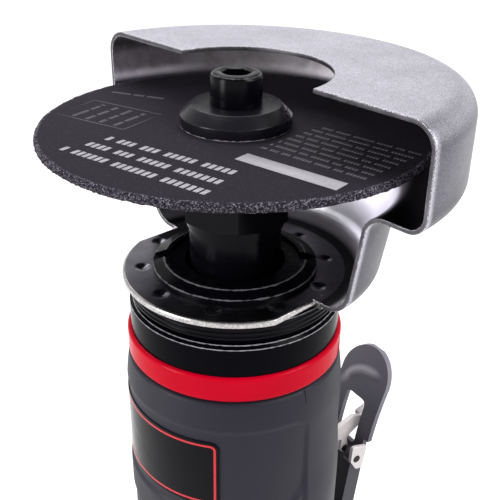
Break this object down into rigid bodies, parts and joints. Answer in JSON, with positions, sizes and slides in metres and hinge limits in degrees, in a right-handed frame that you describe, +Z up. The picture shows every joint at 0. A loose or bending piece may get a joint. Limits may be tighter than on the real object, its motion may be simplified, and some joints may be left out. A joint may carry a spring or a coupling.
{
  "type": "pneumatic cut-off tool",
  "caption": "Straight hand-held air cut-off tool with an abrasive wheel under a turning half guard, squeeze lever with safety latch, and vane motor in a sleeved barrel.",
  "frame": {"origin": "centre of the air inlet's mouth in the tail face", "axes": "+Z up the tool's axis to the wheel, +X to the lever"},
  "size_m": [0.0832, 0.0879, 0.2006],
  "materials": {
    "black_aluminium": "satin black anodised, bright at the edges",
    "grip_rubber": "matt moulded, slightly soft",
    "red_trim": "glossy red",
    "clamp_steel": "black oxide with bright edges",
    "bright_steel": "turned bright steel",
    "spring_steel": "drawn wire",
    "hub_steel": "turned dark steel",
    "flange_steel": "turned, black oxide",
    "screw_steel": "black oxide",
    "wheel_abrasive": "dark bonded grit with a rough edge",
    "guard_steel": "pressed sheet, fine grain satin",
    "lever_steel": "dark satin finish",
    "latch_zinc": "zinc plated",
    "brass": "turned brass",
    "seal_rubber": "black rubber",
    "vane_resin": "laminated resin",
    "deflector_black": "matt black moulding",
    "felt": "felt"
  },
  "bodies": {
    "body": {"motor_housing": "black_aluminium", "grip_sleeve": "grip_rubber", "trim_ring": "red_trim", "front_retainer": "clamp_steel", "guard_clamp_nut": "clamp_steel", "guard_seat_ring": "black_aluminium", "cylinder_liner": "bright_steel", "front_end_plate": "bright_steel", "rear_end_plate": "bright_steel", "cylinder_dowel": "bright_steel", "front_bearing_outer": "bright_steel", "rear_bearing_outer": "bright_steel", "valve_bush": "brass", "stem_seal": "seal_rubber", "valve_spring": "spring_steel", "lever_pin": "bright_steel", "inlet_bush": "clamp_steel", "inlet_screen": "brass", "regulator_seal": "seal_rubber", "regulator_pin": "bright_steel"},
    "spindle": {"rotor": "bright_steel", "rotor_vane_1": "vane_resin", "rotor_vane_2": "vane_resin", "rotor_vane_3": "vane_resin", "rotor_vane_4": "vane_resin", "front_bearing_inner": "bright_steel", "rear_bearing_inner": "bright_steel", "spindle_hub": "hub_steel", "cutting_wheel": "wheel_abrasive", "outer_flange": "flange_steel", "wheel_screw": "screw_steel"},
    "front_cage": {"front_bearing_balls": "bright_steel", "front_bearing_cage": "brass"},
    "rear_cage": {"rear_bearing_balls": "bright_steel", "rear_bearing_cage": "brass"},
    "guard": {"wheel_guard": "guard_steel"},
    "lever": {"throttle_lever": "lever_steel", "latch_pin": "bright_steel"},
    "latch": {"safety_latch": "latch_zinc", "latch_spring": "spring_steel"},
    "valve": {"valve_stem": "bright_steel", "valve_seal": "seal_rubber"},
    "deflector": {"exhaust_deflector": "deflector_black", "muffler_ring": "felt"},
    "regulator": {"regulator_spool": "bright_steel"}
  },
  "joints": [
    {"name": "spindle_spin", "type": "hinge", "parent": "body", "child": "spindle", "pos_m": [0, 0, 0.14], "axis": [0, 0, 1], "continuous": true},
    {"name": "front_cage_roll", "type": "hinge", "parent": "body", "child": "front_cage", "pos_m": [0, 0, 0.143], "axis": [0, 0, 1], "continuous": true},
    {"name": "rear_cage_roll", "type": "hinge", "parent": "body", "child": "rear_cage", "pos_m": [0, 0, 0.087], "axis": [0, 0, 1], "continuous": true},
    {"name": "guard_turn", "type": "hinge", "parent": "body", "child": "guard", "pos_m": [0, 0, 0.1588], "axis": [0, 0, 1], "continuous": true},
    {"name": "lever_squeeze", "type": "hinge", "parent": "body", "child": "lever", "pos_m": [0.0235, 0, 0.04], "axis": [0, -1, 0], "range_deg": [0, 6.5], "stiffness_Nm_per_rad": 0.75, "springref_deg": -8.59},
    {"name": "latch_swing", "type": "hinge", "parent": "lever", "child": "latch", "pos_m": [0.03309, 0, 0.09522], "axis": [0, 1, 0], "range_deg": [0, 49], "deforming": ["latch_spring"]},
    {"name": "valve_push", "type": "slide", "parent": "body", "child": "valve", "axis": [-1, 0, 0], "range_m": [0, 0.0026], "deforming": ["valve_spring"]},
    {"name": "regulator_turn", "type": "hinge", "parent": "body", "child": "regulator", "pos_m": [-0.02, 0, 0.046], "axis": [-1, 0, 0], "range_deg": [0, 90]},
    {"name": "deflector_swivel", "type": "hinge", "parent": "body", "child": "deflector", "pos_m": [0, 0, 0.009], "axis": [0, 0, 1], "continuous": true}
  ],
  "couplings": [
    {"joint": "front_cage_roll", "follows": "spindle_spin", "ratio": 0.381},
    {"joint": "rear_cage_roll", "follows": "spindle_spin", "ratio": 0.36},
    {"joint": "latch_swing", "follows": "lever_squeeze", "ratio": 7.5},
    {"joint": "valve_push", "follows": "lever_squeeze", "m_per_rad": 0.0225}
  ]
}
